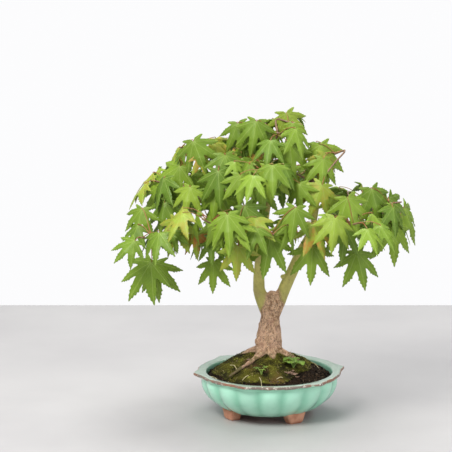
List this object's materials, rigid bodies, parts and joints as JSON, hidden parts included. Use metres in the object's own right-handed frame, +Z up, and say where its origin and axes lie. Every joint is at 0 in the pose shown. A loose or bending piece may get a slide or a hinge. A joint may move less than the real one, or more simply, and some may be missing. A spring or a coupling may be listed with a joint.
{
  "type": "potted bonsai tree",
  "caption": "Small Japanese maple with a forked trunk and a wide crown of drooping palmate leaves, planted in moss in a round lobed glazed pot with a pointed lip and clay feet.",
  "frame": {"origin": "on the surface that the feet rest on, under the middle of the pot", "axes": "+Z up, -Y the front of the tree, +X to its right as seen from the front"},
  "size_m": [0.2888, 0.2112, 0.2933],
  "materials": {
    "glaze": "glossy celadon glaze, worn brown on the lip's edge, bare terracotta feet",
    "soil": "damp crumbly potting soil",
    "moss": "short cushion moss, olive",
    "bark": "pale rough bark, speckled",
    "young_bark": "smooth olive green bark",
    "leaf": "thin bright green leaves with a satin skin",
    "seedling": "tender bright green leaves",
    "drain_mesh": "matt black",
    "wire": "bare wire"
  },
  "bodies": {
    "root": {"pot": "glaze", "soil": "soil", "moss": "moss", "trunk": "bark", "drain_mesh_left": "drain_mesh", "drain_clip_left": "wire", "drain_mesh_right": "drain_mesh", "drain_clip_right": "wire", "branch_apex": "young_bark", "branch_left_low": "young_bark", "branch_left_mid": "young_bark", "branch_left_high": "young_bark", "branch_front_left": "young_bark", "branch_front_low": "young_bark", "branch_front_high": "young_bark", "branch_back_left": "young_bark", "branch_back_mid": "young_bark", "branch_back_high": "young_bark", "branch_right_top": "young_bark", "branch_right_mid": "young_bark", "branch_right_low": "young_bark", "branch_right_front": "young_bark", "branch_right_back": "young_bark", "seedling_right": "seedling", "seedling_front": "seedling", "shoot_01": "leaf", "shoot_02": "leaf", "shoot_03": "leaf", "shoot_04": "leaf", "shoot_05": "leaf", "shoot_06": "leaf", "shoot_07": "leaf", "shoot_08": "leaf", "shoot_09": "leaf", "shoot_10": "leaf", "shoot_11": "leaf", "shoot_12": "leaf", "shoot_13": "leaf", "shoot_14": "leaf", "shoot_15": "leaf", "shoot_16": "leaf", "shoot_17": "leaf", "shoot_18": "leaf", "shoot_19": "leaf", "shoot_20": "leaf", "shoot_21": "leaf", "shoot_22": "leaf", "shoot_23": "leaf", "shoot_24": "leaf", "shoot_25": "leaf", "shoot_26": "leaf", "shoot_27": "leaf", "shoot_28": "leaf", "shoot_29": "leaf", "shoot_30": "leaf", "shoot_31": "leaf", "shoot_32": "leaf", "shoot_33": "leaf"}
  },
  "joints": []
}
